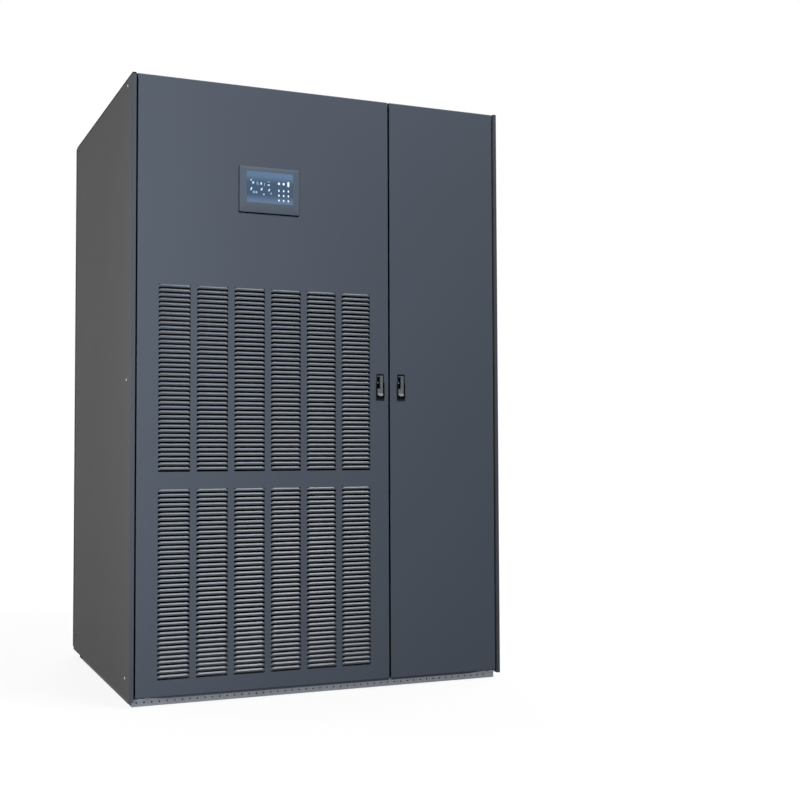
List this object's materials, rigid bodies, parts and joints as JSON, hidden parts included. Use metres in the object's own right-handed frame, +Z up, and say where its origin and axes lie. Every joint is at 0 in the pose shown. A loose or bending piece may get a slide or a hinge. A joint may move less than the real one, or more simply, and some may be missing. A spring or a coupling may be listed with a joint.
{
  "type": "computer room air conditioner",
  "caption": "Tall floor-standing cooling cabinet with a wide louvred door, a narrow plain door, a control display, paddle latches and a perforated base rail.",
  "frame": {"origin": "on the floor, under the middle of the whole object's box", "axes": "+X to the right seen from the front, -Y out of the doors, +Z up"},
  "size_m": [1.33, 1.008, 2.01],
  "materials": {
    "cabinet_paint": "satin powder coat",
    "door_paint": "satin powder coat",
    "frame_paint": "matt powder coat",
    "galvanised": "zinc coated",
    "pivot_steel": "zinc plated",
    "bezel_plastic": "fine texture",
    "screen_glass": "glossy",
    "latch_plastic": "satin",
    "lever_metal": "satin",
    "lock_chrome": "bright"
  },
  "bodies": {
    "cabinet": {"base_front_rail": "galvanised", "base_rear_rail": "frame_paint", "base_left_rail": "frame_paint", "base_right_rail": "frame_paint", "floor_pan": "galvanised", "left_side_panel": "cabinet_paint", "right_side_panel": "cabinet_paint", "rear_left_panel": "cabinet_paint", "rear_right_panel": "cabinet_paint", "front_left_post": "frame_paint", "front_right_post": "frame_paint", "rear_left_post": "frame_paint", "rear_right_post": "frame_paint", "centre_post": "frame_paint", "front_top_rail": "frame_paint", "rear_top_rail": "frame_paint", "left_top_rail": "frame_paint", "right_top_rail": "frame_paint", "roof_panel": "cabinet_paint", "outlet_guard": "frame_paint", "lower_door_pivots": "pivot_steel", "upper_door_pivots": "pivot_steel"},
    "left_door": {"left_door_skin": "door_paint", "left_door_blocks": "pivot_steel", "display_bezel": "bezel_plastic", "display_screen": "screen_glass", "left_latch_dish": "latch_plastic", "left_lock": "lock_chrome", "upper_louvre_bank_1": "door_paint", "upper_louvre_bank_2": "door_paint", "upper_louvre_bank_3": "door_paint", "upper_louvre_bank_4": "door_paint", "upper_louvre_bank_5": "door_paint", "upper_louvre_bank_6": "door_paint", "lower_louvre_bank_1": "door_paint", "lower_louvre_bank_2": "door_paint", "lower_louvre_bank_3": "door_paint", "lower_louvre_bank_4": "door_paint", "lower_louvre_bank_5": "door_paint", "lower_louvre_bank_6": "door_paint"},
    "right_door": {"right_door_skin": "door_paint", "right_door_blocks": "pivot_steel", "right_latch_dish": "latch_plastic", "right_lock": "lock_chrome"},
    "left_latch": {"left_latch_lever": "lever_metal"},
    "right_latch": {"right_latch_lever": "lever_metal"}
  },
  "joints": [
    {"name": "left_door_hinge", "type": "hinge", "parent": "cabinet", "child": "left_door", "pos_m": [-0.631, -0.488, 1], "axis": [0, 0, -1], "range_deg": [0, 110]},
    {"name": "right_door_hinge", "type": "hinge", "parent": "cabinet", "child": "right_door", "pos_m": [0.631, -0.488, 1], "axis": [0, 0, 1], "range_deg": [0, 110]},
    {"name": "left_latch_lift", "type": "hinge", "parent": "left_door", "child": "left_latch", "pos_m": [0.201, -0.495, 1.057], "axis": [-1, 0, 0], "range_deg": [0, 40]},
    {"name": "right_latch_lift", "type": "hinge", "parent": "right_door", "child": "right_latch", "pos_m": [0.28, -0.495, 1.057], "axis": [-1, 0, 0], "range_deg": [0, 40]}
  ]
}
